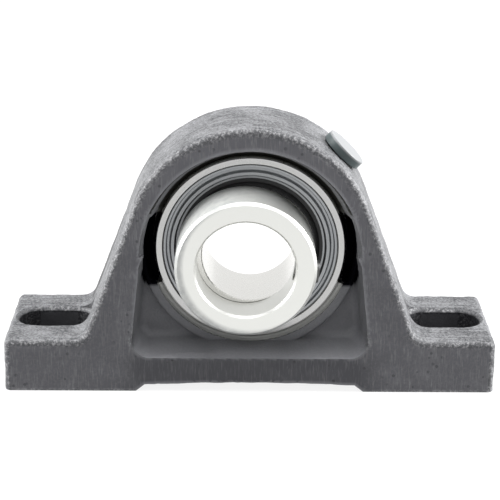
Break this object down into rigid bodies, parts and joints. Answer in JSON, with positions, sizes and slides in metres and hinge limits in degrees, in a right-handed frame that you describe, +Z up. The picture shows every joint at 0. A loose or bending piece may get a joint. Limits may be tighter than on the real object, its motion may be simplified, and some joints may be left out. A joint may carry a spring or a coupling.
{
  "type": "pillow block bearing",
  "caption": "Cast two-bolt pillow block with a self-aligning ball bearing insert, an eccentric locking collar and a plugged lubrication hole.",
  "frame": {"origin": "middle of the machined underside of the base, on the bore's vertical plane", "axes": "+X along the base, +Y to the rear along the shaft, +Z up; the locking collar faces -Y"},
  "size_m": [0.18, 0.0533, 0.098],
  "materials": {
    "cast_housing": "rough cast, bare, fine speckle",
    "plug_face": "smooth, light grey",
    "bearing_steel": "fine ground",
    "ball_steel": "polished",
    "cage_steel": "pressed sheet",
    "seal_steel": "pressed sheet, satin",
    "seal_rubber": "matt black",
    "collar_steel": "turned, bright",
    "screw_steel": "black oxide"
  },
  "bodies": {
    "housing_body": {"housing": "cast_housing"},
    "lube_plug": {"grease_plug": "plug_face"},
    "insert": {"outer_ring": "bearing_steel", "front_seal_shield": "seal_steel", "rear_seal_shield": "seal_steel", "front_seal_lip": "seal_rubber", "rear_seal_lip": "seal_rubber"},
    "shaft_ring": {"inner_ring": "bearing_steel"},
    "cage": {"front_cage_half": "cage_steel", "rear_cage_half": "cage_steel", "cage_rivets": "cage_steel"},
    "collar": {"locking_collar": "collar_steel"},
    "set_screw": {"collar_set_screw": "screw_steel"},
    "roller_ball_1": {"ball_1": "ball_steel"},
    "roller_ball_2": {"ball_2": "ball_steel"},
    "roller_ball_3": {"ball_3": "ball_steel"},
    "roller_ball_4": {"ball_4": "ball_steel"},
    "roller_ball_5": {"ball_5": "ball_steel"},
    "roller_ball_6": {"ball_6": "ball_steel"},
    "roller_ball_7": {"ball_7": "ball_steel"},
    "roller_ball_8": {"ball_8": "ball_steel"},
    "roller_ball_9": {"ball_9": "ball_steel"}
  },
  "joints": [
    {"name": "insert_swivel", "type": "hinge", "parent": "housing_body", "child": "insert", "pos_m": [0, 0, 0.0508], "axis": [1, 0, 0], "range_deg": [-3, 3]},
    {"name": "shaft_spin", "type": "hinge", "parent": "insert", "child": "shaft_ring", "pos_m": [0, 0, 0.0508], "axis": [0, -1, 0], "continuous": true},
    {"name": "cage_orbit", "type": "hinge", "parent": "insert", "child": "cage", "pos_m": [0, 0, 0.0508], "axis": [0, -1, 0], "continuous": true},
    {"name": "collar_turn", "type": "hinge", "parent": "shaft_ring", "child": "collar", "pos_m": [-0.00085, 0, 0.05038], "axis": [0, -1, 0], "range_deg": [0, 180]},
    {"name": "set_screw_feed", "type": "slide", "parent": "collar", "child": "set_screw", "axis": [-0.9945, 0, 0.1045], "range_m": [-0.004, 0.0007]},
    {"name": "plug_pull", "type": "slide", "parent": "housing_body", "child": "lube_plug", "axis": [0.6947, 0, 0.7193], "range_m": [0, 0.0065]},
    {"name": "ball_1_roll", "type": "hinge", "parent": "cage", "child": "roller_ball_1", "pos_m": [0, 0, 0.07755], "axis": [0, -1, 0], "continuous": true},
    {"name": "ball_2_roll", "type": "hinge", "parent": "cage", "child": "roller_ball_2", "pos_m": [-0.01719, 0, 0.07129], "axis": [0, -1, 0], "continuous": true},
    {"name": "ball_3_roll", "type": "hinge", "parent": "cage", "child": "roller_ball_3", "pos_m": [-0.02634, 0, 0.05545], "axis": [0, -1, 0], "continuous": true},
    {"name": "ball_4_roll", "type": "hinge", "parent": "cage", "child": "roller_ball_4", "pos_m": [-0.02317, 0, 0.03742], "axis": [0, -1, 0], "continuous": true},
    {"name": "ball_5_roll", "type": "hinge", "parent": "cage", "child": "roller_ball_5", "pos_m": [-0.00915, 0, 0.02566], "axis": [0, -1, 0], "continuous": true},
    {"name": "ball_6_roll", "type": "hinge", "parent": "cage", "child": "roller_ball_6", "pos_m": [0.00915, 0, 0.02566], "axis": [0, -1, 0], "continuous": true},
    {"name": "ball_7_roll", "type": "hinge", "parent": "cage", "child": "roller_ball_7", "pos_m": [0.02317, 0, 0.03742], "axis": [0, -1, 0], "continuous": true},
    {"name": "ball_8_roll", "type": "hinge", "parent": "cage", "child": "roller_ball_8", "pos_m": [0.02634, 0, 0.05545], "axis": [0, -1, 0], "continuous": true},
    {"name": "ball_9_roll", "type": "hinge", "parent": "cage", "child": "roller_ball_9", "pos_m": [0.01719, 0, 0.07129], "axis": [0, -1, 0], "continuous": true}
  ],
  "couplings": [
    {"joint": "cage_orbit", "follows": "shaft_spin", "ratio": 0.39615},
    {"joint": "ball_1_roll", "follows": "shaft_spin", "ratio": -2.3035},
    {"joint": "ball_2_roll", "follows": "shaft_spin", "ratio": -2.3035},
    {"joint": "ball_3_roll", "follows": "shaft_spin", "ratio": -2.3035},
    {"joint": "ball_4_roll", "follows": "shaft_spin", "ratio": -2.3035},
    {"joint": "ball_5_roll", "follows": "shaft_spin", "ratio": -2.3035},
    {"joint": "ball_6_roll", "follows": "shaft_spin", "ratio": -2.3035},
    {"joint": "ball_7_roll", "follows": "shaft_spin", "ratio": -2.3035},
    {"joint": "ball_8_roll", "follows": "shaft_spin", "ratio": -2.3035},
    {"joint": "ball_9_roll", "follows": "shaft_spin", "ratio": -2.3035}
  ]
}
